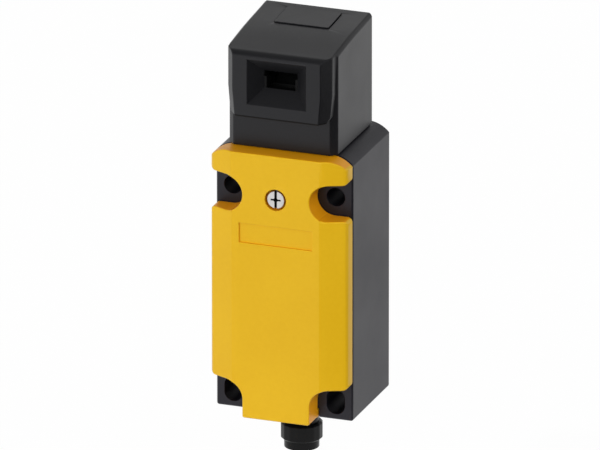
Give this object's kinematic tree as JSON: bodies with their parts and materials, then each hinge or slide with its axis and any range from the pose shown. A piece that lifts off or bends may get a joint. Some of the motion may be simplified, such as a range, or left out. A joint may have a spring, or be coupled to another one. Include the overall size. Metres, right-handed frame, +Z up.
{
  "type": "safety position switch",
  "caption": "Safety position switch for a separate key actuator: dark enclosure, yellow hooked cover, turnable head with funnel slot, cam and plunger, contact block and round plug.",
  "frame": {"origin": "centre of the four fixing holes on the flat back face", "axes": "+X to the right seen from the front, +Y into the wall behind the back face, +Z up towards the head"},
  "size_m": [0.04, 0.0371, 0.1245],
  "materials": {
    "housing": "fine moulded grain",
    "head_lock_fork": "stamped sheet",
    "contact_block": "moulded, pale",
    "block_screws": "zinc plated",
    "nc_fixed_contacts": "stamped strip with silver tips",
    "no_fixed_contacts": "stamped strip with silver tips",
    "terminal_screws": "nickel plated",
    "terminal_clamps": "zinc plated",
    "lead_wires": "stranded copper in plastic",
    "connector_shell": "moulded",
    "connector_insert": "moulded",
    "connector_pins": "gold plated",
    "connector_seal": "matt",
    "cover": "satin, yellow",
    "cover_gasket": "matt",
    "cover_screw": "zinc plated",
    "screw_retainer": "moulded",
    "head_housing": "fine moulded grain",
    "head_base": "fine moulded grain",
    "head_screws": "zinc plated",
    "head_seal": "matt",
    "top_slot_cap": "smooth",
    "rotor_axle": "ground",
    "rotor": "blackened steel",
    "plunger": "smooth",
    "plunger_spring": "spring wire",
    "contact_carrier": "smooth",
    "nc_bridges": "stamped strip with silver tips",
    "no_bridge": "stamped strip with silver tips",
    "contact_springs": "spring wire",
    "return_spring": "spring wire"
  },
  "bodies": {
    "enclosure": {"housing": "housing", "head_lock_fork": "head_lock_fork", "contact_block": "contact_block", "block_screws": "block_screws", "nc_fixed_contacts": "nc_fixed_contacts", "no_fixed_contacts": "no_fixed_contacts", "terminal_screws": "terminal_screws", "terminal_clamps": "terminal_clamps", "lead_wires": "lead_wires", "connector_shell": "connector_shell", "connector_insert": "connector_insert", "connector_pins": "connector_pins", "connector_seal": "connector_seal", "return_spring": "return_spring"},
    "cover_group": {"cover": "cover", "cover_gasket": "cover_gasket", "cover_screw": "cover_screw", "screw_retainer": "screw_retainer"},
    "head": {"head_housing": "head_housing", "head_base": "head_base", "head_screws": "head_screws", "head_seal": "head_seal", "top_slot_cap": "top_slot_cap", "rotor_axle": "rotor_axle", "plunger_spring": "plunger_spring"},
    "cam": {"rotor": "rotor"},
    "plunger_body": {"plunger": "plunger"},
    "carrier": {"contact_carrier": "contact_carrier", "nc_bridges": "nc_bridges", "no_bridge": "no_bridge", "contact_springs": "contact_springs"}
  },
  "joints": [
    {"name": "cover_tilt", "type": "hinge", "parent": "enclosure", "child": "cover_group", "pos_m": [0, -0.0286, -0.0339], "axis": [1, 0, 0], "range_deg": [0, 55]},
    {"name": "head_turn", "type": "hinge", "parent": "enclosure", "child": "head", "pos_m": [0, -0.01715, 0.0424], "axis": [0, 0, 1], "range_deg": [-90, 180]},
    {"name": "cam_turn", "type": "hinge", "parent": "head", "child": "cam", "pos_m": [0, -0.01715, 0.055], "axis": [-1, 0, 0], "range_deg": [0, 65]},
    {"name": "plunger_slide", "type": "slide", "parent": "head", "child": "plunger_body", "axis": [0, 0, 1], "range_m": [0, 0.003], "deforming": ["plunger_spring"]},
    {"name": "carrier_slide", "type": "slide", "parent": "enclosure", "child": "carrier", "axis": [0, 0, 1], "range_m": [0, 0.003], "deforming": ["return_spring"]}
  ],
  "couplings": [
    {"joint": "plunger_slide", "follows": "cam_turn", "m_per_rad": 0.00264},
    {"joint": "carrier_slide", "follows": "cam_turn", "m_per_rad": 0.00264}
  ]
}
